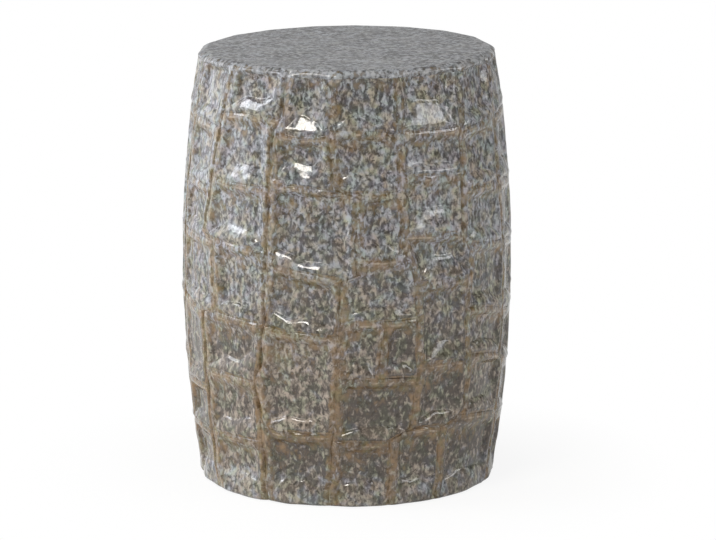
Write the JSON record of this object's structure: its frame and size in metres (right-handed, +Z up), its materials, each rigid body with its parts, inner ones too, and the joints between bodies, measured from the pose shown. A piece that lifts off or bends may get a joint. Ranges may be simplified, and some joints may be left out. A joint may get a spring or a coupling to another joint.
{
  "type": "garden stool",
  "caption": "Barrel-shaped glazed ceramic garden stool with a flat round seat, an open foot and a wall clad in uneven dished slabs.",
  "frame": {"origin": "on the floor, at the middle of the foot ring", "axes": "+Z up; -Y is the side that the picture shows; +X is to the right in the picture"},
  "size_m": [0.3532, 0.3536, 0.46],
  "materials": {
    "slab_glaze": "high gloss reactive glaze, grey flecks over brown",
    "seat_glaze": "high gloss speckled grey glaze",
    "joint_glaze": "thin brown glaze in the joints",
    "bare_stoneware": "unglazed, matt"
  },
  "bodies": {
    "root": {"wall_half_front": "joint_glaze", "wall_half_back": "joint_glaze", "foot_ring": "bare_stoneware", "seat_top": "seat_glaze", "seat_seam_coil": "bare_stoneware", "slab_column_01": "slab_glaze", "slab_column_02": "slab_glaze", "slab_column_03": "slab_glaze", "slab_column_04": "slab_glaze", "slab_column_05": "slab_glaze", "slab_column_06": "slab_glaze", "slab_column_07": "slab_glaze", "slab_column_08": "slab_glaze", "slab_column_09": "slab_glaze", "slab_column_10": "slab_glaze", "slab_column_11": "slab_glaze", "slab_column_12": "slab_glaze", "slab_column_13": "slab_glaze", "slab_column_14": "slab_glaze", "slab_column_15": "slab_glaze", "slab_column_16": "slab_glaze"}
  },
  "joints": []
}
